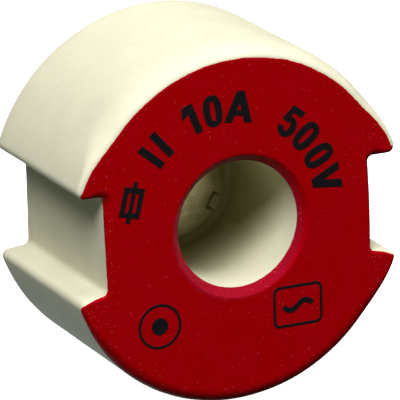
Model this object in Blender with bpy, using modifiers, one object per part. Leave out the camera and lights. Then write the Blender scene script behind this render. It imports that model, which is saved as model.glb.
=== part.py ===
"""Gauge screw for a screw-in bottle-fuse base, size II, 10 A.

A pressed steatite body has two key slots in its sides and a bore that only lets in a fuse
of the right rating. A contact plate lies at the bottom of the bore, and a stud that is
peened over it comes out of the back with the thread that screws into the fuse base.

The screw axis is Y: the colour-coded face looks towards -Y and the stud points to +Y.
The origin is the middle of the back face, which seats on the fuse base, and +Z is up.
Every piece is modelled standing on that seat, with the screw axis along its own Z, and
is turned into place by one parent empty. "Height" below means height above the seat.
"""

import math

import bmesh
import bpy

MM = 0.001

# Ceramic body
BODY_RADIUS = 11.5 * MM
BODY_LENGTH = 12.7 * MM
EDGE_ROUNDING = 0.45 * MM
SLOT_FLOOR = 9.05 * MM  # from the screw axis to the slot's floor
SLOT_HALF_WIDTH = 3.1 * MM  # at the floor
SLOT_FLARE = math.radians(6)  # each slot wall opens outwards by this much
SLOT_FILLET = 0.4 * MM
SLOT_LIP = 0.6 * MM

# Gauge bore, with the ledge that carries the contact plate
BORE_RADIUS = 4.1 * MM
BORE_DEPTH = 10.2 * MM
BORE_CHAMFER = 0.5 * MM
BORE_FLOOR_FILLET = 0.6 * MM
STUD_HOLE_RADIUS = 2.7 * MM
RECESS_RADIUS = 4.5 * MM  # for the stud's collar, in the back face
RECESS_DEPTH = 1.2 * MM

# Contact plate, and the lug in the ledge that keeps it from turning
PLATE_RADIUS = 3.3 * MM
PLATE_THICKNESS = 0.6 * MM
PLATE_GAP = 0.05 * MM
NOTCH_WIDTH = 1.15 * MM
NOTCH_DEPTH = 0.66 * MM
NOTCH_ANGLE = math.radians(-27)  # seen from the face, from +X towards +Z
LUG_WIDTH = 0.85 * MM
LUG_LENGTH = 0.55 * MM
LUG_HEIGHT = 0.5 * MM

# Stud
THREAD_RADIUS = 2.5 * MM
THREAD_LENGTH = 7.0 * MM
THREAD_TIP_CHAMFER = 0.6 * MM
SHANK_RADIUS = 2.4 * MM
COLLAR_RADIUS = 4.2 * MM
COLLAR_THICKNESS = 1.1 * MM
SPIGOT_RADIUS = 1.05 * MM
SPIGOT_HOLE_RADIUS = 1.15 * MM
PEENED_RADIUS = 1.3 * MM
PEENED_HEIGHT = 0.25 * MM

# Colour coat on the face
COAT_THICKNESS = 0.1 * MM
COAT_GAP = 0.02 * MM

# How finely round shapes are divided
RIM_STEPS = 20  # in a quarter of the rim
CORNER_STEPS = 4
TURNED_STEPS = 64

LEDGE_HEIGHT = BODY_LENGTH - BORE_DEPTH
PLATE_BOTTOM = LEDGE_HEIGHT + PLATE_GAP
PLATE_TOP = PLATE_BOTTOM + PLATE_THICKNESS
CUTTER_OVERSHOOT = 1.0 * MM
WELD_DISTANCE = 0.001 * MM


def clear_scene():
    for existing in list(bpy.data.objects):
        bpy.data.objects.remove(existing)


def new_collection(name):
    made = bpy.data.collections.new(name)
    bpy.context.scene.collection.children.link(made)
    return made


def finish_material(name, colour, roughness, metallic=0.0):
    made = bpy.data.materials.new(name)
    made.use_nodes = True
    shader = made.node_tree.nodes["Principled BSDF"]
    shader.inputs["Base Color"].default_value = (*colour, 1.0)
    shader.inputs["Roughness"].default_value = roughness
    shader.inputs["Metallic"].default_value = metallic
    return made


def arc(centre_x, centre_y, radius, start, end, steps):
    """Points along an arc, with both of its ends."""
    angles = [start + (end - start) * i / steps for i in range(steps + 1)]
    return [(centre_x + radius * math.cos(a), centre_y + radius * math.sin(a)) for a in angles]


def circle(radius, steps=TURNED_STEPS):
    return arc(0, 0, radius, 0, math.tau, steps)[:-1]


def slotted_outline(radius, floor, half_width, fillet, lip):
    """The body's section across the screw axis: a round rim with a key slot on each side.

    The first quarter runs from the middle of one slot's floor, through the fillet, out
    along the flared wall, round the lip and up the rim. The others mirror it.
    """
    c, s = math.cos(SLOT_FLARE), math.sin(SLOT_FLARE)
    along = fillet * (1 - s) / c
    inner = arc(
        floor + fillet,
        half_width + along * s - fillet * c,
        fillet,
        math.pi,
        math.pi / 2 + SLOT_FLARE,
        CORNER_STEPS,
    )
    # The lip's centre is a lip radius off the wall, and as far inside the rim.
    x, y = floor - lip * s, half_width + lip * c
    k = x * c + y * s
    along = -k + math.sqrt(k * k - x * x - y * y + (radius - lip) ** 2)
    x, y = x + along * c, y + along * s
    rim_start = math.atan2(y, x)
    outer = arc(x, y, lip, SLOT_FLARE - math.pi / 2, rim_start, CORNER_STEPS)
    rim = arc(0, 0, radius, rim_start, math.pi / 2, RIM_STEPS)
    quarter = [(floor, 0)] + inner + outer + rim[1:]
    half = quarter + [(-px, py) for px, py in reversed(quarter[:-1])]
    return half + [(-px, -py) for px, py in half[1:-1]]


def place(thing, axis_empty, collection):
    collection.objects.link(thing)
    thing.parent = axis_empty
    return thing


def as_mesh(drawn, name):
    """Swaps a curve, or an object with modifiers, for the plain welded mesh it makes."""
    bpy.context.scene.collection.objects.link(drawn)
    bpy.context.view_layer.update()
    evaluated = drawn.evaluated_get(bpy.context.evaluated_depsgraph_get())
    mesh = bpy.data.meshes.new_from_object(evaluated)
    made = bpy.data.objects.new(name, mesh)
    made.matrix_world = drawn.matrix_world
    bpy.data.objects.remove(drawn)
    welded = bmesh.new()
    welded.from_mesh(mesh)
    bmesh.ops.remove_doubles(welded, verts=welded.verts, dist=WELD_DISTANCE)
    bmesh.ops.recalc_face_normals(welded, faces=welded.faces)
    welded.to_mesh(mesh)
    welded.free()
    return made


def prism(name, outlines, bottom, top, rounding=0.0):
    """A flat plate with these closed outlines, the inner ones being holes, from bottom to top."""
    curve = bpy.data.curves.new(name, "CURVE")
    curve.dimensions = "2D"
    curve.fill_mode = "BOTH"
    curve.extrude = (top - bottom) / 2 - rounding
    curve.bevel_depth = rounding
    curve.bevel_resolution = 1
    curve.offset = -rounding
    for outline in outlines:
        spline = curve.splines.new("POLY")
        spline.points.add(len(outline) - 1)
        for point, (x, y) in zip(spline.points, outline):
            point.co = (x, y, 0, 1)
        spline.use_cyclic_u = True
    drawn = bpy.data.objects.new(name + "_outline", curve)
    drawn.location.z = (top + bottom) / 2
    return as_mesh(drawn, name)


def turned(name, profile):
    """A solid of revolution about Z. The profile holds (radius, height), from the top down."""
    mesh = bpy.data.meshes.new(name)
    edges = [(i, i + 1) for i in range(len(profile) - 1)]
    mesh.from_pydata([(r, 0, h) for r, h in profile], edges, [])
    made = bpy.data.objects.new(name, mesh)
    screw = made.modifiers.new("turn", "SCREW")
    screw.axis = "Z"
    screw.steps = TURNED_STEPS
    screw.render_steps = TURNED_STEPS
    screw.use_merge_vertices = True
    screw.merge_threshold = WELD_DISTANCE
    return made


def block(name, length, width, bottom, top, distance, angle):
    """A box whose middle is at this distance from the axis, with its length along the radius."""
    mesh = bpy.data.meshes.new(name)
    shape = bmesh.new()
    bmesh.ops.create_cube(shape, size=1)
    bmesh.ops.scale(shape, verts=shape.verts, vec=(length, width, top - bottom))
    shape.to_mesh(mesh)
    shape.free()
    made = bpy.data.objects.new(name, mesh)
    made.location = (distance * math.cos(angle), distance * math.sin(angle), (top + bottom) / 2)
    made.rotation_euler.z = angle
    return made


def combine(target, tool, operation):
    boolean = target.modifiers.new(tool.name, "BOOLEAN")
    boolean.operation = operation
    boolean.solver = "EXACT"
    boolean.object = tool


def as_tool(thing):
    thing.display_type = "WIRE"
    thing.hide_render = True
    return thing


def shade_round(thing):
    thing.data.shade_smooth()
    thing.data.set_sharp_from_angle(angle=math.radians(30))


def bore_cutter():
    """Collar recess, stud hole, gauge bore and its chamfer, in one turned shape."""
    beyond = BODY_LENGTH + CUTTER_OVERSHOOT
    fillet = arc(
        BORE_RADIUS - BORE_FLOOR_FILLET,
        LEDGE_HEIGHT + BORE_FLOOR_FILLET,
        BORE_FLOOR_FILLET,
        0,
        -math.pi / 2,
        CORNER_STEPS,
    )
    profile = [
        (0, beyond),
        (BORE_RADIUS + BORE_CHAMFER + CUTTER_OVERSHOOT, beyond),
        (BORE_RADIUS, BODY_LENGTH - BORE_CHAMFER),
        *fillet,
        (STUD_HOLE_RADIUS, LEDGE_HEIGHT),
        (STUD_HOLE_RADIUS, RECESS_DEPTH),
        (RECESS_RADIUS, RECESS_DEPTH),
        (RECESS_RADIUS, -CUTTER_OVERSHOOT),
        (0, -CUTTER_OVERSHOOT),
    ]
    return as_tool(turned("bore_cutter", profile))


def ledge_lug():
    """The lug on the ledge that stands in the contact plate's notch."""
    return as_tool(
        block(
            "ledge_lug",
            LUG_LENGTH,
            LUG_WIDTH,
            LEDGE_HEIGHT - LUG_HEIGHT,
            LEDGE_HEIGHT + LUG_HEIGHT,
            PLATE_RADIUS - LUG_LENGTH / 2,
            NOTCH_ANGLE,
        )
    )


def ceramic_body(cutter, lug):
    outline = slotted_outline(BODY_RADIUS, SLOT_FLOOR, SLOT_HALF_WIDTH, SLOT_FILLET, SLOT_LIP)
    made = prism("ceramic_body", [outline], 0, BODY_LENGTH, EDGE_ROUNDING)
    combine(made, cutter, "DIFFERENCE")
    combine(made, lug, "UNION")
    shade_round(made)
    made.data.materials.append(finish_material("steatite", (0.80, 0.75, 0.60), 0.5))
    return made


def face_coat():
    """The colour coat on the flat of the face, inside the body's rounded edges."""
    outline = slotted_outline(
        BODY_RADIUS - EDGE_ROUNDING,
        SLOT_FLOOR - EDGE_ROUNDING,
        SLOT_HALF_WIDTH + EDGE_ROUNDING,
        SLOT_FILLET + EDGE_ROUNDING,
        SLOT_LIP - EDGE_ROUNDING,
    )
    bottom = BODY_LENGTH + COAT_GAP
    hole = circle(BORE_RADIUS + BORE_CHAMFER)
    made = prism("face_coat", [outline, hole], bottom, bottom + COAT_THICKNESS)
    made.data.materials.append(finish_material("red_enamel", (0.30, 0.004, 0.004), 0.45))
    return made


def contact_plate():
    """A round plate with a hole for the stud's spigot and a notch in its edge."""
    half = NOTCH_WIDTH / 2
    mouth = math.asin(half / PLATE_RADIUS)
    rim = arc(0, 0, PLATE_RADIUS, mouth, math.tau - mouth, TURNED_STEPS)
    floor = PLATE_RADIUS - NOTCH_DEPTH
    outline = rim + [(floor, -half), (floor, half)]
    c, s = math.cos(NOTCH_ANGLE), math.sin(NOTCH_ANGLE)
    outline = [(x * c - y * s, x * s + y * c) for x, y in outline]
    hole = circle(SPIGOT_HOLE_RADIUS)
    made = prism("contact_plate", [outline, hole], PLATE_BOTTOM, PLATE_TOP)
    made.data.materials.append(finish_material("plated_brass", (0.55, 0.50, 0.36), 0.4, 1.0))
    return made


def threaded_stud():
    """Peened head, spigot, shank, collar and thread, turned as one piece."""
    rest = PLATE_TOP + PLATE_GAP
    dome = [
        (PEENED_RADIUS * math.sin(a), rest + PEENED_HEIGHT * math.cos(a))
        for a in (math.pi / 2 * i / CORNER_STEPS for i in range(CORNER_STEPS + 1))
    ]
    profile = [
        *dome,
        (SPIGOT_RADIUS, rest),
        (SPIGOT_RADIUS, LEDGE_HEIGHT - PLATE_GAP),
        (SHANK_RADIUS, LEDGE_HEIGHT - PLATE_GAP),
        (SHANK_RADIUS, COLLAR_THICKNESS),
        (COLLAR_RADIUS, COLLAR_THICKNESS),
        (COLLAR_RADIUS, 0),
        (THREAD_RADIUS, 0),
        (THREAD_RADIUS, THREAD_TIP_CHAMFER - THREAD_LENGTH),
        (THREAD_RADIUS - THREAD_TIP_CHAMFER, -THREAD_LENGTH),
        (0, -THREAD_LENGTH),
    ]
    made = as_mesh(turned("turned_stud", profile), "threaded_stud")
    shade_round(made)
    made.data.materials.append(finish_material("bare_brass", (0.62, 0.45, 0.18), 0.35, 1.0))
    return made


def main():
    clear_scene()
    parts = new_collection("gauge_screw")
    tools = new_collection("cutters")
    screw_axis = bpy.data.objects.new("screw_axis", None)
    screw_axis.rotation_euler.x = math.pi / 2
    parts.objects.link(screw_axis)
    cutter = place(bore_cutter(), screw_axis, tools)
    lug = place(ledge_lug(), screw_axis, tools)
    for piece in (ceramic_body(cutter, lug), face_coat(), contact_plate(), threaded_stud()):
        place(piece, screw_axis, parts)


main()
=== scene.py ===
"""Finished surfaces of the gauge screw for a bottle-fuse base.

The pieces are modelled standing on the body's back face, with the screw axis along Z and
"height" measured from that face. seat_piece turns each one into the frame's own axes, where
the coloured face looks towards -Y. Every length is in metres.
"""

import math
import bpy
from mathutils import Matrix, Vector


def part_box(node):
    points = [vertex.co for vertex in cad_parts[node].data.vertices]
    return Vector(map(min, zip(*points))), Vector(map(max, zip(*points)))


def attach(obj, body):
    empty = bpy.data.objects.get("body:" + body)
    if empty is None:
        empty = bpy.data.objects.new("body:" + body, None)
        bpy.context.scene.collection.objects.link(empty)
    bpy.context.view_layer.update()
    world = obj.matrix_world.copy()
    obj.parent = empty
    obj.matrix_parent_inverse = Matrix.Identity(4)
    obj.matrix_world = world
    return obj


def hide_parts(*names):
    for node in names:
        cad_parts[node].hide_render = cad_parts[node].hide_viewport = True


bl_info = {
    "name": "Fuse Gauge Screw",
    "version": (1, 0, 0),
    "blender": (4, 5, 0),
    "location": "3D View > Sidebar > Gauge Screw",
    "description": "Builds the ceramic, coat, contact and stud of a fuse gauge screw",
    "category": "Add Mesh",
}

import bmesh
import bpy
from bpy.props import FloatProperty, FloatVectorProperty, PointerProperty
from mathutils import Matrix, Vector, noise

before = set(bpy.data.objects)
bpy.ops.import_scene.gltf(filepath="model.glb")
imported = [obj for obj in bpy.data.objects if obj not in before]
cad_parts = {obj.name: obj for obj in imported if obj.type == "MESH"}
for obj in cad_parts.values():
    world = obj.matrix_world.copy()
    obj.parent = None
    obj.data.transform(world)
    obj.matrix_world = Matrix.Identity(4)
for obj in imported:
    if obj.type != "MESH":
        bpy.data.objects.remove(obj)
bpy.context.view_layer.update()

MM = 0.001
BODY = "root"

BODY_LOW, BODY_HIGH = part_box("ceramic_body")
BODY_RADIUS = BODY_HIGH.z
BODY_LENGTH = -BODY_LOW.y
PLATE_LOW, PLATE_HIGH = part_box("contact_plate")
PLATE_RADIUS = PLATE_HIGH.z
PLATE_BOTTOM = -PLATE_HIGH.y
PLATE_TOP = -PLATE_LOW.y
STUD_LOW, STUD_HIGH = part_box("threaded_stud")
COLLAR_RADIUS = STUD_HIGH.z
THREAD_LENGTH = STUD_HIGH.y
STUD_TOP = -STUD_LOW.y

SEAT_GAP = 0.05 * MM  # air between pieces that are pressed together on the real one
WELD_DISTANCE = 0.0002 * MM
SHARP_ANGLE = math.radians(35)


# ---- settings


def length(name, millimetres, description):
    kind = {"unit": "LENGTH", "subtype": "DISTANCE", "precision": 5}
    return FloatProperty(name=name, description=description, default=millimetres * MM, **kind)


def angle(name, degrees, description):
    kind = {"unit": "ROTATION", "subtype": "ANGLE"}
    return FloatProperty(
        name=name, description=description, default=math.radians(degrees), **kind
    )


def colour(name, default, description):
    kind = {"subtype": "COLOR", "size": 3, "min": 0.0, "max": 1.0}
    return FloatVectorProperty(name=name, description=description, default=default, **kind)


def power(name, watts, description):
    return FloatProperty(name=name, description=description, default=watts, unit="POWER")


class BodySettings(bpy.types.PropertyGroup):
    """Sizes of the pressed ceramic body."""

    slot_floor: length("Slot floor", 9.05, "From the screw axis to the floor of a key slot")
    slot_half_width: length("Slot half width", 3.1, "Half the slot's width at its floor")
    slot_flare: angle("Slot flare", 6, "How far each slot wall opens outwards")
    slot_fillet: length("Slot fillet", 0.4, "Radius between the slot's floor and its walls")
    slot_lip: length("Slot lip", 0.45, "Radius between a slot wall and the rim")
    slot_rounding: length("Slot rounding", 0.4, "Rounding of the face's edge along the slots")
    rim_rounding: length("Rim rounding", 0.76, "Rounding of the face's edge along the rim")
    back_rounding: length("Back rounding", 0.3, "Rounding of the back face's edge")
    bore_radius: length("Bore radius", 4.1, "Radius of the gauge bore")
    bore_depth: length("Bore depth", 10.2, "From the face to the ledge under the plate")
    bore_chamfer: length("Bore chamfer", 0.5, "Size of the chamfer at the bore's mouth")
    bore_fillet: length("Bore fillet", 0.2, "Radius between the bore and the ledge")
    stud_hole: length("Stud hole", 2.7, "Radius of the hole for the stud's shank")
    recess_radius: length("Recess radius", 4.5, "Radius of the recess for the stud's collar")
    recess_depth: length("Recess depth", 1.2, "Depth of the recess for the stud's collar")
    lug_width: length("Lug width", 0.9, "Width of the lug in the plate's notch")
    lug_length: length("Lug length", 0.55, "Length of the lug along the radius")
    lug_height: length("Lug height", 0.56, "Height of the lug above the ledge")
    flat_side: length("Flat side", 0.24, "How far the rim is short of round, low on the +X side")
    waviness: length("Waviness", 0.02, "How far the fired surface strays from true")
    column_width: length("Column width", 0.2, "Width of a mesh face along the outline")
    cream: colour("Cream", (0.66, 0.635, 0.445), "Colour of the fired ceramic")


class CoatSettings(bpy.types.PropertyGroup):
    """Sizes and colour of the colour coat."""

    thickness: length("Thickness", 0.035, "Thickness of the coat")
    feather: length("Feather", 0.08, "Width over which the coat thins out at its edge")
    raggedness: length("Raggedness", 0.035, "How far the coat's edge wanders")
    column_width: length("Column width", 0.08, "Width of a mesh face along the outline")
    red: colour("Red", (0.32, 0.0, 0.0004), "Colour of the coat")


class PlateSettings(bpy.types.PropertyGroup):
    """Sizes and colour of the contact plate."""

    notch_angle: angle("Notch angle", -27, "Where the notch is, seen from the face")
    notch_width: length("Notch width", 1.15, "Width of the notch")
    notch_depth: length("Notch depth", 0.66, "Depth of the notch along the radius")
    notch_corner: length("Notch corner", 0.06, "Radius of the notch's corners")
    edge_rounding: length("Edge rounding", 0.09, "Rounding of the punched edge")
    hole_radius: length("Hole radius", 0.8, "Radius of the hole for the stud's spigot")
    metal: colour("Metal", (0.82, 0.76, 0.53), "Colour of the plating")


class StudSettings(bpy.types.PropertyGroup):
    """Sizes and colour of the threaded stud."""

    thread_radius: length("Thread radius", 2.5, "Outer radius of the thread")
    thread_pitch: length("Thread pitch", 0.8, "Distance between two turns of the thread")
    thread_depth: length("Thread depth", 0.45, "Depth of the thread")
    tip_chamfer: length("Tip chamfer", 0.6, "Chamfer on the end of the thread")
    runout: length("Runout", 0.9, "Length over which the thread dies out at the collar")
    collar_height: length("Collar height", 1.1, "Thickness of the collar")
    shank_radius: length("Shank radius", 2.4, "Radius of the shank in the ceramic")
    spigot_radius: length("Spigot radius", 0.72, "Radius of the spigot through the plate")
    head_radius: length("Head radius", 0.95, "Radius of the peened head")
    metal: colour("Metal", (0.62, 0.45, 0.19), "Colour of the turned metal")


class PrintSettings(bpy.types.PropertyGroup):
    """Sizes and colour of the print on the face."""

    figure_height: length("Figure height", 2.0, "Height of the figures")
    figure_stroke: length("Figure stroke", 0.48, "Thickness of the figures' strokes")
    arc_radius: length("Arc radius", 6.78, "Radius of the arc that the figures stand on")
    arc_x: length("Arc centre X", -0.78, "Centre of the arc, sideways from the screw axis")
    arc_y: length("Arc centre Y", 0.94, "Centre of the arc, above the screw axis")
    mark_line: length("Mark line", 0.17, "Line thickness of the two marks below the bore")
    ink_thickness: length("Ink thickness", 0.02, "Thickness of the ink")
    ink: colour("Ink", (0.003, 0.003, 0.004), "Colour of the ink")


class StageSettings(bpy.types.PropertyGroup):
    """Camera, lights and floor."""

    view_side: angle("View side", 25.14, "How far to the left of the face the camera stands")
    view_height: angle("View height", 16.39, "How far above the face the camera stands")
    part_turn: angle("Part turn", 1.47, "How far the part is turned about its screw axis")
    distance: length("Camera distance", 305.1, "From the camera to the middle of the face")
    offset_x: length("Offset X", 2.546, "How far right of the picture's middle the face is")
    offset_y: length("Offset Y", -1.613, "How far above the picture's middle the face is")
    lens: FloatProperty(name="Lens", description="Focal length in mm", default=444.9)
    key_power: power("Key", 4.1, "Power of the light high on the left")
    top_power: power("Top", 1.1, "Power of the overhead light")
    side_power: power("Side", 1.8, "Power of the light on the right")
    bounce_power: power("Bounce", 0.9, "Power of the light from below and behind")
    sky: colour("Sky", (0.025, 0.033, 0.02), "Light from above")
    ground: colour("Ground", (0.042, 0.05, 0.036), "Light from below")


# ---- shaders


class Wire:
    """An output of a node. Arithmetic on it adds the Math nodes that do the sum."""

    def __init__(self, finish, socket):
        self.finish = finish
        self.socket = socket

    def __add__(self, other):
        return self.finish.math("ADD", self, other)

    __radd__ = __add__

    def __mul__(self, other):
        return self.finish.math("MULTIPLY", self, other)

    __rmul__ = __mul__

    def __sub__(self, other):
        return self.finish.math("SUBTRACT", self, other)

    def __rsub__(self, other):
        return self.finish.math("SUBTRACT", other, self)


class Finish:
    """The node tree of one finish, or of the world."""

    def __init__(self, owner):
        owner.use_nodes = True
        self.owner = owner
        self.tree = owner.node_tree
        self.tree.nodes.clear()

    def node(self, kind, settings=None, sockets=None, output=0):
        """Adds a node, sets it up, fills its inputs with values or wires, and gives an output."""
        made = self.tree.nodes.new("ShaderNode" + kind)
        for key, value in (settings or {}).items():
            setattr(made, key, value)
        for key, value in (sockets or {}).items():
            if isinstance(value, Wire):
                self.tree.links.new(value.socket, made.inputs[key])
            else:
                made.inputs[key].default_value = value
        return Wire(self, made.outputs[output]) if made.outputs else None

    def math(self, operation, *values):
        return self.node("Math", {"operation": operation}, dict(enumerate(values)))

    def place(self):
        """Coordinates that are fixed to the piece, in metres."""
        return self.node("TexCoord", output="Object")

    def axes(self):
        """The three coordinates of the place, each as a wire."""
        split = {"Vector": self.place()}
        return [self.node("SeparateXYZ", {}, split, axis) for axis in "XYZ"]

    def off_axis(self, shift=0.0):
        """Distance from the screw axis, or from a line this far left of it and below it."""
        across, _, up = self.axes()
        left, low = across + shift, up + shift
        return self.math("SQRT", left * left + low * low)

    def ramp(self, value, low, high):
        """0 below low, 1 above high, and smooth between them."""
        settings = {"interpolation_type": "SMOOTHSTEP"}
        sockets = {"Value": value, "From Min": low, "From Max": high}
        return self.node("MapRange", settings, sockets)

    def cloud(self, size, detail=2.0, coarseness=0.5, stretch=(1, 1, 1)):
        """Smooth random values from 0 to 1 that change over this size."""
        scaled = self.node("VectorMath", {"operation": "MULTIPLY"}, {0: self.place(), 1: stretch})
        sockets = {"Vector": scaled, "Scale": 1 / size, "Detail": detail, "Roughness": coarseness}
        return self.node("TexNoise", {}, sockets, "Fac")

    def specks(self, spacing, radius, chance):
        """A mask of soft, uneven specks. Chance, a number or a wire, is the share of sites used."""
        ripple = self.node("TexNoise", {}, {"Vector": self.place(), "Scale": 1 / radius}, "Color")
        reach = (2 * radius, 2 * radius, 2 * radius)
        sums = {0: ripple, 1: reach, 2: self.place()}
        bent = self.node("VectorMath", {"operation": "MULTIPLY_ADD"}, sums)
        sites = {"Vector": bent, "Scale": 1 / spacing}
        distance = self.node("TexVoronoi", {}, sites, "Distance")
        draw = self.node("TexVoronoi", {}, sites, "Color")
        lot = self.node("SeparateColor", {}, {"Color": draw}, "Red")
        near = 1 - self.ramp(distance, 0.5 * radius / spacing, radius / spacing)
        return near * self.math("LESS_THAN", lot, chance)

    def mix(self, factor, first, second):
        """A colour between two colours."""
        pair = [c if isinstance(c, Wire) else (*c, 1.0) for c in (first, second)]
        sockets = {0: factor, 6: pair[0], 7: pair[1]}
        return self.node("Mix", {"data_type": "RGBA"}, sockets, 2)

    def surface(self, tone, roughness, height=None, constants=None):
        """Ends the tree with a shader. The height is its relief, in millimetres."""
        sockets = {"Base Color": tone, "Roughness": roughness, **(constants or {})}
        if height:
            relief = {"Height": height, "Distance": MM, "Strength": 1.0}
            sockets["Normal"] = self.node("Bump", {}, relief)
        shader = self.node("BsdfPrincipled", {}, sockets)
        self.node("OutputMaterial", {}, {"Surface": shader})
        return self.owner


def new_finish(name):
    return Finish(bpy.data.materials.new(name))


def shade(base, *factors):
    """A colour multiplied by one factor, or by one for each channel."""
    if len(factors) == 1:
        factors *= 3
    return tuple(channel * factor for channel, factor in zip(base, factors))


def steatite_finish(cream):
    """Unglazed fired ceramic: nearly even cream with a fine grain, and painted shade deep in the
    bore.
    """
    finish = new_finish("fired_steatite")
    patches = finish.cloud(2.4 * MM, 3.0, 0.55)
    mottle = finish.cloud(0.45 * MM, 2.0, 0.6)
    grain = finish.cloud(0.07 * MM, 2.0, 0.7)
    pits = finish.specks(0.55 * MM, 0.05 * MM, 0.25)
    flecks = finish.specks(1.3 * MM, 0.06 * MM, 0.2)
    tone = finish.mix(finish.ramp(patches, 0.35, 0.65), shade(cream, 0.965), shade(cream, 1.02))
    mottled = shade(cream, 0.955, 0.95, 0.92)
    tone = finish.mix(0.5 * finish.ramp(mottle, 0.35, 0.7), tone, mottled)
    tone = finish.mix(0.35 * finish.ramp(grain, 0.45, 0.75), tone, shade(cream, 0.93))
    tone = finish.mix(0.4 * flecks, tone, (0.36, 0.31, 0.22))
    # Painted shade: deep inside the bore the cream is darkened and browned, where little light
    # reaches.
    inside = 1 - finish.ramp(finish.off_axis(), 4.15 * MM, 4.4 * MM)
    painted_bore_shade = inside * finish.ramp(finish.axes()[1], -11 * MM, -5 * MM)
    tone = finish.mix(0.5 * painted_bore_shade, tone, shade(cream, 0.55, 0.52, 0.25))
    height = 0.012 * mottle + 0.006 * grain - 0.01 * pits
    return finish.surface(tone, 0.6 + 0.15 * mottle, height, {"Specular IOR Level": 0.3})


def enamel_finish(red):
    """Semi-matt colour coat: faintly clouded, with tiny pale specks that crowd at the edges, and
    painted sheen on the bore's mouth.
    """
    finish = new_finish("red_colour_coat")
    clouds = finish.cloud(1.5 * MM, 3.0, 0.6)
    fine_clouds = finish.cloud(0.35 * MM, 2.0, 0.6)
    skin = finish.cloud(0.25 * MM, 1.0, 0.5)
    # Painted sheen: this mask of the bore's mouth reaches further on its left and lower side, and
    # tints the chamfer a darker purplish red with more pale specks, standing in for the chamfer's
    # pink-tinted sheen.
    mouth = 1 - finish.ramp(finish.off_axis(0.17 * MM), 4.4 * MM, 4.62 * MM)
    sides = finish.ramp(finish.math("ABSOLUTE", finish.axes()[0]), 8.5 * MM, 9.1 * MM)
    edges = finish.math("MAXIMUM", sides, finish.ramp(finish.off_axis(), 10.0 * MM, 10.7 * MM))
    dust = finish.specks(0.4 * MM, 0.05 * MM, 0.42)
    crumbs = finish.specks(0.2 * MM, 0.055 * MM, 0.03 + 0.45 * mouth + 0.4 * edges)
    bluish = (red[0] * 1.02, red[1] * 2, 0.003)
    tone = finish.mix(finish.ramp(clouds, 0.4, 0.66), red, bluish)
    tone = finish.mix(0.45 * finish.ramp(fine_clouds, 0.4, 0.7), tone, shade(red, 0.86))
    # Painted sheen on the bore's mouth: a darker purplish red.
    tone = finish.mix(mouth, tone, (red[0] * 0.86, 0.003, 0.012))
    tone = finish.mix(0.8 * dust, tone, (0.56, 0.03, 0.06))
    tone = finish.mix(0.65 * crumbs, tone, (0.52, 0.05, 0.09))
    height = 0.012 * skin + 0.004 * fine_clouds + 0.008 * dust + 0.01 * crumbs
    dull = {"Specular IOR Level": 0.12, "Specular Tint": (1.0, 0.0, 0.12, 1.0)}
    return finish.surface(tone, 0.5 + 0.12 * fine_clouds, height, dull)


def ink_finish(ink, red):
    """Pad-printed black ink, thin enough to let a little of the coat through."""
    finish = new_finish("print_ink")
    thin = finish.cloud(0.16 * MM, 2.0, 0.6)
    tone = finish.mix(0.5 * finish.ramp(thin, 0.6, 0.8), ink, (red[0] * 0.25, 0.001, 0.002))
    return finish.surface(tone, 0.45 + 0.15 * thin, 0.006 * thin, {"Specular IOR Level": 0.25})


def plated_finish(metal):
    """Dull plating on punched sheet: blotched, with fine dark specks."""
    finish = new_finish("dull_plating")
    blotches = finish.cloud(0.9 * MM, 3.0, 0.6)
    grain = finish.cloud(0.09 * MM, 2.0, 0.6)
    specks = finish.specks(0.17 * MM, 0.045 * MM, 0.6)
    tone = finish.mix(finish.ramp(blotches, 0.35, 0.7), metal, shade(metal, 0.8))
    tone = finish.mix(0.85 * specks, tone, shade(metal, 0.2))
    height = 0.008 * grain - 0.006 * specks
    return finish.surface(tone, 0.28 + 0.15 * blotches, height, {"Metallic": 1.0})


def turned_finish(metal):
    """Bare metal with fine tool marks round the axis and a light tarnish."""
    finish = new_finish("turned_metal")
    tool_marks = finish.cloud(0.5 * MM, 2.0, 0.5, (1, 14, 1))
    tarnish = finish.cloud(1.4 * MM, 3.0, 0.6)
    tone = finish.mix(finish.ramp(tarnish, 0.4, 0.7), metal, (0.40, 0.27, 0.11))
    return finish.surface(tone, 0.26 + 0.2 * tarnish, 0.008 * tool_marks, {"Metallic": 1.0})


# ---- mesh tools


def new_piece(name, mesh, material):
    mesh.materials.clear()
    mesh.materials.append(material)
    piece = bpy.data.objects.new(name, mesh)
    bpy.context.scene.collection.objects.link(piece)
    return piece


def seat_piece(name, mesh, material, slot, *nodes):
    """Turns a piece from the bench, axis up, into the frame, and hides the imported pieces it
    stands for.
    """
    mesh.transform(Matrix.Rotation(math.pi / 2, 4, "X"))
    piece = new_piece(name, mesh, material)
    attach(piece, BODY)
    if nodes:
        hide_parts(*nodes)
    return piece


def shade_round(mesh):
    mesh.shade_smooth()
    mesh.set_sharp_from_angle(angle=SHARP_ANGLE)


def tidy_mesh(mesh):
    """Welds doubled points and turns every face outwards."""
    edit = bmesh.new()
    edit.from_mesh(mesh)
    bmesh.ops.remove_doubles(edit, verts=edit.verts, dist=WELD_DISTANCE)
    bmesh.ops.recalc_face_normals(edit, faces=edit.faces)
    edit.to_mesh(mesh)
    edit.free()
    return mesh


def skin(name, rings, closed_up=False):
    """A mesh over rings of equally many points. A one-point ring closes an end."""
    points = []
    starts = []
    for ring in rings:
        starts.append(len(points))
        points.extend(ring)
    count = max(len(ring) for ring in rings)
    faces = []
    pairs = list(zip(range(len(rings)), range(1, len(rings))))
    if closed_up:
        pairs.append((len(rings) - 1, 0))
    for a, b in pairs:
        for i in range(count):
            j = (i + 1) % count
            corners = [starts[k] + n % len(rings[k]) for k, n in ((a, i), (a, j), (b, j), (b, i))]
            faces.append(list(dict.fromkeys(corners)))
    mesh = bpy.data.meshes.new(name)
    mesh.from_pydata(points, [], faces)
    return tidy_mesh(mesh)


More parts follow.
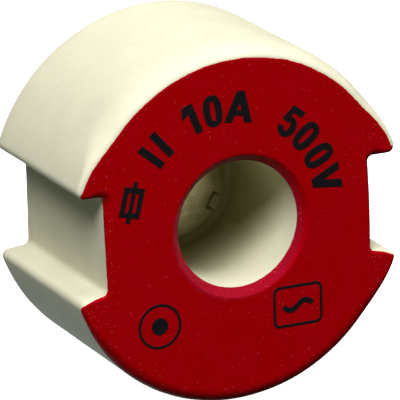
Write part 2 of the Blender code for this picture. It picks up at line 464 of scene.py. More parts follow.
def made_real(piece):
    """Applies a piece's modifiers, or turns a curve into a mesh."""
    bpy.context.view_layer.update()
    evaluated = piece.evaluated_get(bpy.context.evaluated_depsgraph_get())
    mesh = bpy.data.meshes.new_from_object(evaluated)
    mesh.transform(piece.matrix_world)
    bpy.data.objects.remove(piece)
    return mesh


def full_circle(steps):
    return [math.tau * i / steps for i in range(steps)]


def ring_at(turns, radius, height):
    return [(radius * math.cos(t), radius * math.sin(t), height) for t in turns]


def arc(centre, radius, start, end, steps):
    """Points along an arc, with both of its ends."""
    turns = [start + (end - start) * i / steps for i in range(steps + 1)]
    return [(centre[0] + radius * math.cos(t), centre[1] + radius * math.sin(t)) for t in turns]


def placed(outlines, x, y, turn=0.0):
    """Flat outlines turned about their origin and then moved."""
    c, s = math.cos(turn), math.sin(turn)
    return [[(x + c * px - s * py, y + s * px + c * py) for px, py in line] for line in outlines]


def rounded_path(corners, steps):
    """A path through (x, y, rounding) corners, each corner turned by an arc."""
    path = [corners[0][:2]]
    for before, corner, after in zip(corners, corners[1:], corners[2:]):
        point = Vector(corner[:2])
        back = (Vector(before[:2]) - point).normalized()
        ahead = (Vector(after[:2]) - point).normalized()
        half = back.angle(ahead) / 2
        centre = point + (back + ahead).normalized() * corner[2] / math.sin(half)
        start = point + back * corner[2] / math.tan(half) - centre
        sweep = math.pi - 2 * half
        if back.cross(ahead) > 0:
            sweep = -sweep
        first = math.atan2(start.y, start.x)
        path.extend(arc(centre, corner[2], first, first + sweep, steps))
    path.append(corners[-1][:2])
    return path


def prism(name, outlines, bottom, top, rounding=0.0):
    """A flat solid with these closed outlines, the inner ones being holes."""
    curve = bpy.data.curves.new(name, "CURVE")
    curve.dimensions = "2D"
    curve.fill_mode = "BOTH"
    curve.extrude = (top - bottom) / 2 - rounding
    curve.bevel_depth = rounding
    curve.bevel_resolution = 2
    curve.offset = -rounding
    for outline in outlines:
        spline = curve.splines.new("POLY")
        spline.points.add(len(outline) - 1)
        for point, (x, y) in zip(spline.points, outline):
            point.co = (x, y, 0, 1)
        spline.use_cyclic_u = True
    drawn = bpy.data.objects.new(name + "_outline", curve)
    bpy.context.scene.collection.objects.link(drawn)
    drawn.location.z = (top + bottom) / 2
    return tidy_mesh(made_real(drawn))


def between(first, second, t):
    return tuple(a + (b - a) * t for a, b in zip(first, second))


def smooth(value):
    """0 to 1 with a soft start and end."""
    value = min(max(value, 0.0), 1.0)
    return value * value * (3 - 2 * value)


# ---- ceramic body

FLOOR, FILLET, WALL, LIP, RIM, QUARTER_END = 0, 1, 2, 3, 4, 5
STATION_TURNS = (0, 22, 33, 46, 52, 90)  # degrees round the bore that match the stations
MIDDLE_RADIUS = 8.2 * MM  # a round ring between the bore and the outline
FLAT_STEPS = (0.04, 0.35, 0.7, 1), (0.35, 0.7, 0.94, 1)  # rings inside and outside of it
INNER_ROUNDING = 0.15 * MM
LUG_ROUNDING = 0.09 * MM
ROUND_STEPS = 8
SIDE_ROWS = 14

SLOT_SPREAD = 0.55  # how much the slot's rounding grows to its top and shrinks to its bottom
LIP_ROUNDING = 0.6  # rounding of the face's edge at a lip, as a share of the lip's radius
RIM_RAMP = 0.3  # share of a rim quarter over which the rounding grows from slot to rim
UPPER_STRETCH = 3.0  # how much further the upper rim's rounding reaches down than across
LOWER_REACH, LOWER_SLANT = 1.15, 0.3  # the lower rim's rounding, and its growth towards +X

SLOW_WAVE, FINE_WAVE, FINE_SHARE = 3.5 * MM, 0.7 * MM, 0.35  # the fired surface's waviness
FLAT_SIDE_TURN = math.radians(-30)
FLAT_SIDE_SPAN = 1.3  # how much wider than a half turn's cosine the flat side spreads
FLAT_SIDE_DEPTH = 2.4 * MM  # how far outside the middle ring it has its full effect
KILN_SEED = 7


class Column:
    """A place on the body's outline, with its outward direction.

    station says where in a quarter it is: its whole part is FLOOR, FILLET, WALL, LIP or RIM,
    and its fraction is the way along. turn is the direction of the matching point of the bore.
    """

    def __init__(self, x, y, nx, ny, station, turn=0.0):
        self.x, self.y, self.nx, self.ny = x, y, nx, ny
        self.station = station
        self.turn = turn

    def mirrored(self, flip_x, flip_y):
        turn = math.atan2(math.sin(self.turn) * flip_y, math.cos(self.turn) * flip_x)
        place = (self.x * flip_x, self.y * flip_y)
        outward = (self.nx * flip_x, self.ny * flip_y)
        return Column(*place, *outward, self.station, turn)

    def inset(self, distance):
        return self.x - self.nx * distance, self.y - self.ny * distance

    def on_circle(self, radius):
        return radius * math.cos(self.turn), radius * math.sin(self.turn)


def straight_columns(start, end, normal, station, width):
    steps = max(2, round(math.dist(start, end) / width))
    for i in range(steps):
        yield Column(*between(start, end, i / steps), *normal, station + i / steps)


def bent_columns(centre, radius, start, end, station, width, outward=1):
    steps = max(6, round(radius * abs(end - start) / width))
    for i in range(steps):
        turn = start + (end - start) * (i / steps)
        c, s = math.cos(turn), math.sin(turn)
        place = (centre[0] + radius * c, centre[1] + radius * s)
        yield Column(*place, c * outward, s * outward, station + i / steps)


def slotted_outline(size, width):
    """Columns all round the body, from the middle of the +X slot's floor."""
    c, s = math.cos(size.slot_flare), math.sin(size.slot_flare)
    floor, fillet, lip = size.slot_floor, size.slot_fillet, size.slot_lip
    half = size.slot_half_width
    along = fillet * (1 - s) / c
    fillet_centre = (floor + fillet, half + along * s - fillet * c)
    x, y = floor - lip * s, half + lip * c
    k = x * c + y * s
    along = -k + math.sqrt(k * k - x * x - y * y + (BODY_RADIUS - lip) ** 2)
    lip_centre = (x + along * c, y + along * s)
    rim_start = math.atan2(lip_centre[1], lip_centre[0])
    wall_start = (fillet_centre[0] - fillet * s, fillet_centre[1] + fillet * c)
    wall_end = (lip_centre[0] + lip * s, lip_centre[1] - lip * c)
    wall_turn = math.pi / 2 + size.slot_flare
    quarter = [
        *straight_columns((floor, 0), (floor, fillet_centre[1]), (1, 0), FLOOR, width),
        *bent_columns(fillet_centre, fillet, math.pi, wall_turn, FILLET, width, -1),
        *straight_columns(wall_start, wall_end, (s, -c), WALL, width),
        *bent_columns(lip_centre, lip, size.slot_flare - math.pi / 2, rim_start, LIP, width),
        *bent_columns((0, 0), BODY_RADIUS, rim_start, math.pi / 2, RIM, width),
        Column(0, BODY_RADIUS, 0, 1, QUARTER_END),
    ]
    for column in quarter:
        whole = min(int(column.station), RIM)
        low, high = STATION_TURNS[whole : whole + 2]
        column.turn = math.radians(low + (high - low) * (column.station - whole))
    columns = []
    for flip_x, flip_y, backwards in ((1, 1, False), (-1, 1, True), (-1, -1, False), (1, -1, True)):
        part = [column.mirrored(flip_x, flip_y) for column in quarter]
        if backwards:
            part.reverse()
        columns.extend(part[:-1])
    return columns


def edge_rounding(size, column):
    """How far the rounding of the face's edge reaches over the face, and down the side.

    It is larger at the top of a slot than at its bottom, and largest along the rim, where it
    reaches further down the side on the upper half.
    """
    height = math.copysign(1, column.y)
    if column.station < FILLET:
        height = column.y / size.slot_half_width
    slot = size.slot_rounding * (1 + SLOT_SPREAD * height)
    slot += (LIP_ROUNDING * size.slot_lip - slot) * smooth(column.station - WALL)
    rim, stretch = size.rim_rounding, UPPER_STRETCH
    if column.y < 0:
        rim, stretch = rim * (LOWER_REACH + LOWER_SLANT * column.x / BODY_RADIUS), 1.0
    share = smooth((column.station - RIM) / RIM_RAMP)
    reach = slot + (rim - slot) * share
    return reach, reach * (1 + (stretch - 1) * share)


def over_edge(column, rounding, travel):
    """Point and normal at a distance travelled from the end of the flat, over the edge."""
    across, down = rounding
    turn = min(max(travel / across, 0), math.pi / 2)
    outward, upward = math.sin(turn), math.cos(turn)
    inset = across * (1 - outward) - min(travel, 0)
    drop = down * (1 - upward) + max(travel - across * math.pi / 2, 0)
    normal = Vector((outward / across, upward / down)).normalized()
    point = (*column.inset(inset), BODY_LENGTH - drop)
    return point, (column.nx * normal.x, column.ny * normal.x, normal.y)


def strayed(size, x, y, height):
    """Moves a point sideways by the fired body's flat side and its waviness."""
    slow = noise.noise_vector(Vector((x, y, height)) / SLOW_WAVE)
    fine = noise.noise_vector(Vector((x, y, height)) / FINE_WAVE)
    push = (slow + FINE_SHARE * fine) * size.waviness
    radius = math.hypot(x, y)
    turn = math.remainder(math.atan2(y, x) - FLAT_SIDE_TURN, math.tau) / FLAT_SIDE_SPAN
    if abs(turn) < math.pi / 2:
        outwards = smooth((radius - MIDDLE_RADIUS) / FLAT_SIDE_DEPTH)
        short = size.flat_side * math.cos(turn) ** 2 * outwards
        push -= Vector((x, y, 0)) * (short / radius)
    return x + push.x, y + push.y, height


def fired(size, rings):
    """The rings as they come out of the kiln, the same on every run."""
    noise.seed_set(KILN_SEED)
    return [[strayed(size, *point) for point in ring] for ring in rings]


def bore_path(size):
    """(radius, height) from the collar recess through the stud hole and the bore to the face."""
    ledge = BODY_LENGTH - size.bore_depth
    mouth = size.bore_radius + size.bore_chamfer
    r = INNER_ROUNDING
    corners = [
        (size.recess_radius, -r, 0),
        (size.recess_radius, size.recess_depth, r),
        (size.stud_hole, size.recess_depth, r),
        (size.stud_hole, ledge, r),
        (size.bore_radius, ledge, size.bore_fillet),
        (size.bore_radius, BODY_LENGTH - size.bore_chamfer, r),
        (mouth, BODY_LENGTH, r),
        (mouth + 2 * r, BODY_LENGTH, 0),
    ]
    path = rounded_path(corners, ROUND_STEPS)[1:]
    return arc((size.recess_radius + r, r), r, math.pi * 1.5, math.pi, 4) + path


def round_ring(columns, radius, height):
    return [(*column.on_circle(radius), height) for column in columns]


def flat_rings(columns, inner_radius, edge, height):
    """Rings over a flat face, from a round hole to its edge, by way of a round ring."""
    hole = round_ring(columns, inner_radius, height)
    middle = round_ring(columns, MIDDLE_RADIUS, height)
    rings = [hole]
    for start, end, steps in zip((hole, middle), (middle, edge), FLAT_STEPS):
        rings.extend([between(a, b, t) for a, b in zip(start, end)] for t in steps)
    return rings


def body_rings(size, columns):
    """Rings from the collar recess through the bore, over the face and down to the back."""
    path = bore_path(size)
    rings = [round_ring(columns, *point) for point in path]
    around = [(column, edge_rounding(size, column)) for column in columns]
    edge = [over_edge(column, rounding, 0)[0] for column, rounding in around]
    rings.extend(flat_rings(columns, path[-1][0], edge, BODY_LENGTH)[1:])
    for step in range(1, ROUND_STEPS + 1):
        turn = math.pi / 2 * step / ROUND_STEPS
        rings.append([over_edge(column, (a, d), a * turn)[0] for column, (a, d) in around])
    for step in range(1, SIDE_ROWS + 1):
        ring = []
        for column, (_, drop) in around:
            top = BODY_LENGTH - drop
            height = top + (size.back_rounding - top) * step / SIDE_ROWS
            ring.append((column.x, column.y, height))
        rings.append(ring)
    for step in range(1, ROUND_STEPS // 2 + 1):
        turn = math.pi * step / ROUND_STEPS
        inset = size.back_rounding * (1 - math.cos(turn))
        height = size.back_rounding * (1 - math.sin(turn))
        rings.append([(*column.inset(inset), height) for column in columns])
    recess_edge = size.recess_radius + INNER_ROUNDING
    rings.extend(flat_rings(columns, recess_edge, rings[-1], 0)[-2:0:-1])
    return fired(size, rings)


def ledge_lug(size, notch_angle):
    """The small block on the ledge that keeps the plate from turning."""
    ledge = BODY_LENGTH - size.bore_depth
    edit = bmesh.new()
    bmesh.ops.create_cube(edit, size=1)
    block = (size.lug_length, size.lug_width, 2 * size.lug_height)
    bmesh.ops.scale(edit, verts=edit.verts, vec=block)
    edges = edit.edges[:]
    bmesh.ops.bevel(edit, geom=edges, offset=LUG_ROUNDING, segments=3, profile=0.5, affect="EDGES")
    reach = PLATE_RADIUS + SEAT_GAP - size.lug_length / 2
    turn = Matrix.Rotation(notch_angle, 4, "Z")
    edit.transform(turn @ Matrix.Translation((reach, 0, ledge)))
    mesh = bpy.data.meshes.new("ledge_lug")
    edit.to_mesh(mesh)
    edit.free()
    return mesh


class GAUGE_OT_body(bpy.types.Operator):
    """Builds the fired ceramic body with its slots, bore and lug"""

    bl_idname = "gauge.body"
    bl_label = "Ceramic Body"

    def execute(self, context):
        size = context.scene.gauge_body
        material = steatite_finish(tuple(size.cream))
        rings = body_rings(size, slotted_outline(size, size.column_width))
        pressed = new_piece("pressed_body", skin("pressed_body", rings, closed_up=True), material)
        lug_mesh = ledge_lug(size, context.scene.gauge_plate.notch_angle)
        lug = new_piece("ledge_lug", lug_mesh, material)
        join = pressed.modifiers.new("lug", "BOOLEAN")
        join.operation = "UNION"
        join.solver = "EXACT"
        join.object = lug
        mesh = made_real(pressed)
        bpy.data.objects.remove(lug)
        shade_round(mesh)
        seat_piece("steatite_body", mesh, material, "steatite", "ceramic_body")
        return {"FINISHED"}


# ---- colour coat

COAT_EDGE_PARTS = (0, 0.08, 0.16, 0.25, 0.35, 0.45, 0.55, 0.65, 0.74, 0.82, 0.88, 0.93, 0.97, 1)
COAT_MARGIN = 0.02 * MM  # flat kept inside the first edge row
FULL_WRAP = 0.96  # the furthest that the coat goes over a rounding
THIN_WRAP = 0.3  # the same at the lower lips
COAT_WAVE, COAT_FINE_WAVE, COAT_FINE_SHARE = 0.9 * MM, 0.25 * MM, 0.6  # the ragged edge
COAT_EDGE_BIAS = 0.3  # how far the ragged edge falls short on average
MOUTH_WAVE = 0.5 * MM
MOUTH_FEATHER_ROWS = 3


def wrap_share(column):
    """How far the coat goes over the face's edge: 0 stops at the flat, 1 covers the rounding."""
    station = column.station
    if column.y >= 0:
        return 1 - smooth(station - LIP)
    if station < WALL:
        return 1.0
    if station < LIP:
        return 1 - (1 - THIN_WRAP) * (station - WALL)
    return THIN_WRAP + (1 - THIN_WRAP) * smooth((station - LIP - 0.3) / 0.7)


def coat_reach(coat, column, rounding):
    """Where the coat ends, measured over the edge from the end of the flat."""
    around = Vector((column.x, column.y, 0))
    wander = noise.noise(around / COAT_WAVE)
    wander += COAT_FINE_SHARE * noise.noise(around / COAT_FINE_WAVE)
    reach = wrap_share(column) * rounding[0] * math.pi / 2 * FULL_WRAP
    return reach + coat.raggedness * (wander - COAT_EDGE_BIAS)


def chamfer_rows(size):
    """(radius, height, radial normal, axial normal) of the bore's mouth, from the bore up."""
    path = bore_path(size)
    first = len(path) - 2 * (ROUND_STEPS + 1) - 1
    rows = []
    for before, here, after in zip(path[first - 1 :], path[first:], path[first + 1 : -1]):
        run, rise = after[0] - before[0], after[1] - before[1]
        step = math.hypot(run, rise)
        rows.append((*here, -rise / step, run / step))
    return rows


def coat_rings(size, coat, columns, thickness):
    """Rings over the coated surface, lifted by the thickness, which feathers out at the ends."""
    rings = []
    for row, (radius, height, radial, axial) in enumerate(chamfer_rows(size)):
        lift = thickness * math.sqrt(smooth(row / MOUTH_FEATHER_ROWS))
        ring = []
        for column in columns:
            around = Vector((math.cos(column.turn), math.sin(column.turn), 2.0)) * size.bore_radius
            wander = noise.noise(around / MOUTH_WAVE) * coat.raggedness if row == 0 else 0.0
            r = radius + radial * lift
            ring.append((*column.on_circle(r), height + axial * lift - abs(wander)))
        rings.append(ring)
    edge_rings = [[] for _ in COAT_EDGE_PARTS]
    for column in columns:
        rounding = edge_rounding(size, column)
        reach = coat_reach(coat, column, rounding)
        start = min(reach, -COAT_MARGIN) - coat.feather
        for ring, part in zip(edge_rings, COAT_EDGE_PARTS):
            travel = start + (reach - start) * part
            (x, y, h), (nx, ny, nh) = over_edge(column, rounding, travel)
            lift = thickness * math.sqrt(smooth((reach - travel) / coat.feather))
            ring.append((x + nx * lift, y + ny * lift, h + nh * lift))
    mouth = size.bore_radius + size.bore_chamfer + 2 * INNER_ROUNDING
    rings.extend(flat_rings(columns, mouth, edge_rings[0], BODY_LENGTH + thickness)[:-1])
    rings.extend(edge_rings)
    return fired(size, rings)


class GAUGE_OT_coat(bpy.types.Operator):
    """Builds the colour coat over the face and its edges"""

    bl_idname = "gauge.coat"
    bl_label = "Colour Coat"

    def execute(self, context):
        size = context.scene.gauge_body
        coat = context.scene.gauge_coat
        columns = slotted_outline(size, coat.column_width)
        outside = coat_rings(size, coat, columns, coat.thickness)
        inside = coat_rings(size, coat, columns, 0.0)
        rings = outside + inside[-2:0:-1]
        mesh = skin("colour_coat", rings, closed_up=True)
        shade_round(mesh)
        material = enamel_finish(tuple(coat.red))
        seat_piece("colour_coat", mesh, material, "red_enamel", "face_coat")
        return {"FINISHED"}


# ---- contact plate


def notched_outline(plate):
    """The plate's rim with its notch, as a closed outline."""
    half = plate.notch_width / 2
    floor = PLATE_RADIUS - plate.notch_depth
    mouth = math.asin(half / PLATE_RADIUS)
    corner = plate.notch_corner
    notch = rounded_path(
        [
            (PLATE_RADIUS * math.cos(-mouth), -half, 0),
            (floor, -half, corner),
            (floor, half, corner),
            (PLATE_RADIUS * math.cos(mouth), half, 0),
        ],
        4,
    )
    rim = arc((0, 0), PLATE_RADIUS, mouth, math.tau - mouth, 120)
    return placed([rim[1:-1] + notch], 0, 0, plate.notch_angle)[0]


class GAUGE_OT_plate(bpy.types.Operator):
    """Builds the contact plate at the bottom of the bore"""

    bl_idname = "gauge.plate"
    bl_label = "Contact Plate"

    def execute(self, context):
        plate = context.scene.gauge_plate
        hole = arc((0, 0), plate.hole_radius, 0, math.tau, 48)[:-1]
        outlines = [notched_outline(plate), hole]
        mesh = prism("contact_disc", outlines, PLATE_BOTTOM, PLATE_TOP, plate.edge_rounding)
        shade_round(mesh)
        material = plated_finish(tuple(plate.metal))
        seat_piece("contact_disc", mesh, material, "plated_brass", "contact_plate")
        return {"FINISHED"}


# ---- threaded stud

STUD_COLUMNS = 96
THREAD_ROW = 0.05 * MM
CREST, FLANK = 0.12, 0.76  # shares of half a pitch
STUD_ROUNDING = 0.08 * MM
HEAD_RISE = STUD_TOP - PLATE_TOP - SEAT_GAP
HEAD_STEPS = 10
HEAD_DENT, HEAD_DENT_SIZE = 0.03 * MM, 0.5 * MM


def thread_radius(stud, turn, height):
    """Radius of the thread's surface, a rounded V groove that climbs one pitch a turn."""
    phase = (height / stud.thread_pitch - turn / math.tau) % 1.0
    tooth = abs(2 * phase - 1)
    groove = smooth(1 - min(max((tooth - CREST) / FLANK, 0.0), 1.0))
    fade = smooth(-height / stud.runout)
    radius = stud.thread_radius - stud.thread_depth * groove * fade
    taper = stud.thread_radius - stud.tip_chamfer + (height + THREAD_LENGTH)
    return min(radius, taper)


def peened_head(stud):
    """(radius, height) over the spigot's hammered head, from the middle out."""
    for i in range(1, HEAD_STEPS + 1):
        turn = math.pi / 2 * i / HEAD_STEPS
        yield stud.head_radius * math.sin(turn), STUD_TOP - HEAD_RISE * (1 - math.cos(turn)) ** 0.8


def stud_rings(stud, ledge):
    """Rings from the middle of the peened head down to the end of the thread."""
    turns = full_circle(STUD_COLUMNS)
    r = STUD_ROUNDING
    rings = [[(0, 0, STUD_TOP)]]
    for radius, height in peened_head(stud):
        depth = HEAD_DENT * (radius < stud.head_radius)
        ring = []
        for x, y, z in ring_at(turns, radius, height):
            ring.append((x, y, z + depth * noise.noise(Vector((x, y, 0)) / HEAD_DENT_SIZE)))
        rings.append(ring)
    head_base = STUD_TOP - HEAD_RISE
    profile = rounded_path(
        [
            (stud.head_radius, head_base, 0),
            (stud.spigot_radius, head_base, 0.02 * MM),
            (stud.spigot_radius, ledge - SEAT_GAP, r),
            (stud.shank_radius, ledge - SEAT_GAP, r),
            (stud.shank_radius, stud.collar_height, r),
            (COLLAR_RADIUS, stud.collar_height, 2 * r),
            (COLLAR_RADIUS, 0, 2 * r),
            (stud.thread_radius, 0, r),
            (stud.thread_radius, -2 * r, 0),
        ],
        4,
    )
    rings.extend(ring_at(turns, *point) for point in profile[1:-1])
    rows = round((THREAD_LENGTH - 2 * r) / THREAD_ROW)
    for row in range(1, rows + 1):
        height = -2 * r - (THREAD_LENGTH - 2 * r) * row / rows
        ring = []
        for turn in turns:
            radius = thread_radius(stud, turn, height)
            ring.append((radius * math.cos(turn), radius * math.sin(turn), height))
        rings.append(ring)
    rings.append([(0, 0, -THREAD_LENGTH)])
    return rings


class GAUGE_OT_stud(bpy.types.Operator):
    """Builds the stud with its peened head, collar and thread"""

    bl_idname = "gauge.stud"
    bl_label = "Threaded Stud"

    def execute(self, context):
        stud = context.scene.gauge_stud
        ledge = BODY_LENGTH - context.scene.gauge_body.bore_depth
        mesh = skin("screw_stud", stud_rings(stud, ledge))
        shade_round(mesh)
        material = turned_finish(tuple(stud.metal))
        seat_piece("screw_stud", mesh, material, "bare_brass", "threaded_stud")
        mesh.materials.append(plated_finish(tuple(context.scene.gauge_plate.metal)))
        for face in mesh.polygons:
            face.material_index = int(-face.center.y > PLATE_TOP)
        return {"FINISHED"}


# ---- print


def oval(half_width, half_height, squareness=2.5, steps=36):
    """A closed oval that is a little squarer than an ellipse."""
    points = []
    for i in range(steps):
        c, s = math.cos(math.tau * i / steps), math.sin(math.tau * i / steps)
        x = math.copysign(abs(c) ** (2 / squareness), c) * half_width
        y = math.copysign(abs(s) ** (2 / squareness), s) * half_height
        points.append((x, y))
    return points


def bent_line(centre, half_width, half_height, start, end, steps):
    """Points along part of an ellipse, from one angle in degrees to another."""
    return [
        (centre[0] + half_width * x, centre[1] + half_height * y)
        for x, y in arc((0, 0), 1, math.radians(start), math.radians(end), steps)
    ]


def both_sides(left):
    """An outline from its left half, which runs downwards."""
    return left + [(-x, y) for x, y in reversed(left)]


# Each figure is drawn round its middle, from its height h and the width w of its strokes.


def figure_bar(h, w):
    return [both_sides([(-w / 2, h / 2), (-w / 2, -h / 2)])]


def figure_nought(h, w):
    half = 0.315 * h
    return [oval(half, 0.51 * h), oval(half - 0.97 * w, 0.51 * h - 0.8 * w)]


def figure_one(h, w):
    right, flag_left = 0.25 * h, -0.24 * h
    left = right - w
    flag = bent_line((flag_left, h / 2), left + 0.09 * h, 0.22 * h, 0, -90, 5)
    stem = [(left, -h / 2), (right, -h / 2), (right, h / 2)]
    return [[*stem, *flag, (flag_left, 0.12 * h), (left, 0.22 * h)]]


def figure_five(h, w):
    bowl = (0.0, -0.17 * h)
    outer = bent_line(bowl, 0.325 * h, 0.345 * h, 108, -165, 20)
    inner = bent_line(bowl, 0.325 * h - w, 0.345 * h - 0.8 * w, -165, 135, 18)
    top, under = h / 2, h / 2 - 0.85 * w
    flag = [(-0.2 * h, top), (0.28 * h, top), (0.28 * h, under), (-0.05 * h, under)]
    return [[*flag, (-0.085 * h, 0.145 * h), *outer[1:], *inner, (-0.29 * h, -0.04 * h)]]


def figure_a(h, w):
    foot, top = 0.475 * h, 0.56 * w
    lean = (foot - top) / h
    inner = foot - 1.1 * w
    bar_low, bar_high = -0.275 * h, -0.1 * h
    apex = -h / 2 + inner / lean
    low = inner - lean * (bar_low + h / 2)
    high = inner - lean * (bar_high + h / 2)
    left = [(-top, h / 2), (-foot, -h / 2), (-inner, -h / 2), (-low, bar_low)]
    return [both_sides(left), [(-high, bar_high), (high, bar_high), (0, apex)]]


def figure_v(h, w):
    top, foot = 0.4375 * h, 0.56 * w
    lean = (top - foot) / h
    inner = top - 1.1 * w
    crotch = h / 2 - inner / lean
    return [[(0, crotch), *both_sides([(-inner, h / 2), (-top, h / 2), (-foot, -h / 2)])]]


def fuse_symbol(h, w):
    """The general symbol for a fuse: a box with its wire drawn through it."""
    long, high, reach = 0.48 * h, 0.35 * h, 0.66 * h
    line, wire = 0.72 * w, 0.3 * w
    upper = [(-long, high), (-long, wire), (-reach, wire)]
    outside = both_sides(upper + [(x, -y) for x, y in reversed(upper)])
    windows = []
    for side in (-1, 1):
        near, far = side * wire, side * (high - line)
        windows.append(both_sides([(line - long, far), (line - long, near)]))
    return [outside, *windows]


def ring_mark(line):
    """A ring round a dot."""
    outlines = []
    for radius in (1.45 * MM, 1.45 * MM - line, 0.55 * MM):
        outlines.append(arc((0, 0), radius, 0, math.tau, 48)[:-1])
    return outlines


def wave_mark(line):
    """The sign for alternating current in a rounded frame."""
    outlines = []
    for shrink in (0.0, line):
        x, y, r = 1.7 * MM - shrink, 1.35 * MM - shrink, 0.45 * MM - shrink
        frame_line = []
        for quarter, (sx, sy) in enumerate(((1, 1), (-1, 1), (-1, -1), (1, -1))):
            first = math.pi / 2 * quarter
            frame_line.extend(arc((sx * (x - r), sy * (y - r)), r, first, first + math.pi / 2, 6))
        outlines.append(frame_line)
    reach, swing, half = 1.0 * MM, 0.28 * MM, 0.17 * MM
    steps = 20
    upper, lower = [], []
    for i in range(steps + 1):
        t = 2 * i / steps - 1
        slope = math.pi * swing / reach * math.cos(math.pi * t)
        tilt = math.hypot(1, slope)
        x, y = reach * t, swing * math.sin(math.pi * t)
        upper.append((x - half * slope / tilt, y + half / tilt))
        lower.append((x + half * slope / tilt, y - half / tilt))
    outlines.append(upper + lower[::-1])
    return outlines


NOUGHTS = (figure_nought, 51.6), (figure_nought, 65.3)
FIGURES = (  # each with its place on the arc, in degrees clockwise from the top
    ("print_fuse_symbol", ((fuse_symbol, -75.8),)),
    ("print_size", ((figure_bar, -50.0), (figure_bar, -41.3))),
    ("print_current", ((figure_one, -21.7), (figure_nought, -8.5), (figure_a, 6.9))),
    ("print_voltage", ((figure_five, 38.7), *NOUGHTS, (figure_v, 79.3))),
)
MARKS = (  # each with its place on the face, in millimetres from the screw axis
    ("print_ring_mark", ring_mark, (-5.7, -5.6)),
    ("print_wave_mark", wave_mark, (3.77, -5.7)),
)


class GAUGE_OT_print(bpy.types.Operator):
    """Prints the rating and two plain marks on the coat"""

    bl_idname = "gauge.print"
    bl_label = "Print"

    def execute(self, context):
        lettering = context.scene.gauge_print
        coat = context.scene.gauge_coat
        material = ink_finish(tuple(lettering.ink), tuple(coat.red))
        bottom = BODY_LENGTH + coat.thickness
        drawings = []
        for name, figures in FIGURES:
            outlines = []
            for draw, degrees in figures:
                turn = math.radians(degrees)
                x = lettering.arc_x + lettering.arc_radius * math.sin(turn)
                y = lettering.arc_y + lettering.arc_radius * math.cos(turn)
                figure = draw(lettering.figure_height, lettering.figure_stroke)
                outlines.extend(placed(figure, x, y, -turn))
            drawings.append((name, outlines))
        for name, draw, (x, y) in MARKS:
            drawings.append((name, placed(draw(lettering.mark_line), x * MM, y * MM)))
        for name, outlines in drawings:
            mesh = prism(name, outlines, bottom, bottom + lettering.ink_thickness)
            seat_piece(name, mesh, material, "red_enamel")
        return {"FINISHED"}


# ---- stage


FRONT_TINT = (0.93, 0.93, 1)
BACK_TINT = (0.83, 0.93, 1)


def softbox(name, watts, tint, width, place):
    """A square lamp at this place, turned towards the middle of the body."""
    light = bpy.data.lights.new(name, "AREA")
    light.energy = watts
    light.color = tint
    light.size = width
    lamp = bpy.data.objects.new(name, light)
    lamp.location = place
    sight = Vector((0, -BODY_LENGTH / 2, 0)) - Vector(place)
    lamp.rotation_euler = sight.to_track_quat("-Z", "Y").to_euler()
    bpy.context.scene.collection.objects.link(lamp)


def pale_floor(height):
    """A round floor that curves up into a low wall, so every view has the same ground."""
    profile = [(0.02, 0)] + [(0.1 * i, 0) for i in range(1, 8)]
    profile += arc((0.7, 0.3), 0.3, -math.pi / 2, 0, 12)[1:]
    profile.append((1.0, 0.8))
    turns = full_circle(64)
    rings = [[(0, 0, height)]] + [ring_at(turns, r, height + z) for r, z in profile]
    mesh = skin("studio_floor", rings)
    mesh.flip_normals()
    mesh.shade_smooth()
    finish = new_finish("pale_paper")
    fibres = finish.cloud(1.2 * MM, 3.0, 0.6)
    glow = {"Emission Color": (1.0, 1.0, 1.0, 1.0), "Emission Strength": 1.0}
    tone = finish.mix(0.4 * fibres, (0.93, 0.93, 0.93), (0.90, 0.90, 0.90))
    finish.surface(tone, 0.9, None, {"Specular IOR Level": 0.0, **glow})
    floor = new_piece("studio_floor", mesh, finish.owner)
    floor.visible_diffuse = False
    floor.visible_glossy = False
    floor.visible_shadow = False
    return floor


def soft_world(stage):
    """Even light that is bright overhead and dim underneath."""
    world = bpy.data.worlds.new("studio_air")
    bpy.context.scene.world = world
    air = Finish(world)
    direction = air.node("TexCoord", output="Generated")
    above = air.node("SeparateXYZ", {}, {"Vector": direction}, "Z")
    light = air.mix(air.ramp(above, -0.5, 0.8), tuple(stage.ground), tuple(stage.sky))
    background = air.node("Background", {}, {"Color": light, "Strength": 1.0})
    air.node("OutputWorld", {}, {"Surface": background})


def studio_camera(stage):
    """A long lens at the left of the face and above it."""
    data = bpy.data.cameras.new("studio_camera")
    data.lens = stage.lens
    data.sensor_width = 36
    data.clip_start = 0.01
    data.clip_end = 10
    camera = bpy.data.objects.new("studio_camera", data)
    bpy.context.scene.collection.objects.link(camera)
    tilt = Matrix.Rotation(math.pi / 2 - stage.view_height, 4, "X")
    swing = Matrix.Rotation(-stage.view_side, 4, "Z")
    turn = Matrix.Rotation(stage.part_turn, 4, "Y")
    facing = turn @ swing @ tilt
    stand = facing.to_3x3() @ Vector((-stage.offset_x, -stage.offset_y, stage.distance))
    face_middle = Vector((0, -BODY_LENGTH, 0))
    camera.matrix_world = Matrix.Translation(face_middle + stand) @ facing
    bpy.context.scene.camera = camera


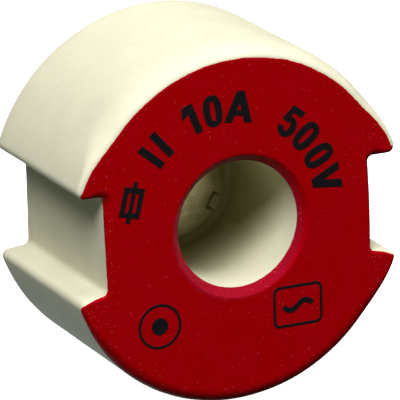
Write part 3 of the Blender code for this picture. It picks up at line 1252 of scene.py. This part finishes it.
class GAUGE_OT_stage(bpy.types.Operator):
    """Sets up the floor, the lights and the camera"""

    bl_idname = "gauge.stage"
    bl_label = "Stage"

    def execute(self, context):
        stage = context.scene.gauge_stage
        pale_floor(BODY_LOW.z - SEAT_GAP)
        softbox("key", stage.key_power, FRONT_TINT, 0.25, (-0.203, -0.29, 0.421))
        softbox("top", stage.top_power, FRONT_TINT, 0.4, (0, 0, 0.55))
        softbox("side", stage.side_power, FRONT_TINT, 0.3, (0.33, -0.2, 0.39))
        softbox("bounce", stage.bounce_power, BACK_TINT, 0.4, (-0.07, 0.35, -0.4))
        soft_world(stage)
        studio_camera(stage)
        context.scene.view_settings.view_transform = "Standard"
        return {"FINISHED"}


# ---- add-on

SETTINGS = (
    ("gauge_body", BodySettings),
    ("gauge_coat", CoatSettings),
    ("gauge_plate", PlateSettings),
    ("gauge_stud", StudSettings),
    ("gauge_print", PrintSettings),
    ("gauge_stage", StageSettings),
)
OPERATORS = (
    GAUGE_OT_stage,
    GAUGE_OT_body,
    GAUGE_OT_coat,
    GAUGE_OT_plate,
    GAUGE_OT_stud,
    GAUGE_OT_print,
)


class GAUGE_PT_panel(bpy.types.Panel):
    """Lists the pieces in the order they are built"""

    bl_idname = "GAUGE_PT_panel"
    bl_label = "Gauge Screw"
    bl_space_type = "VIEW_3D"
    bl_region_type = "UI"
    bl_category = "Gauge Screw"

    def draw(self, context):
        for operator in OPERATORS:
            self.layout.operator(operator.bl_idname)


def register():
    for name, group in SETTINGS:
        bpy.utils.register_class(group)
        setattr(bpy.types.Scene, name, PointerProperty(type=group))
    for thing in (*OPERATORS, GAUGE_PT_panel):
        bpy.utils.register_class(thing)


def unregister():
    for thing in (GAUGE_PT_panel, *reversed(OPERATORS)):
        bpy.utils.unregister_class(thing)
    for name, group in reversed(SETTINGS):
        delattr(bpy.types.Scene, name)
        bpy.utils.unregister_class(group)


def main():
    register()
    bpy.ops.gauge.stage()
    bpy.ops.gauge.body()
    bpy.ops.gauge.coat()
    bpy.ops.gauge.plate()
    bpy.ops.gauge.stud()
    bpy.ops.gauge.print()


if __name__ == "__main__":
    main()
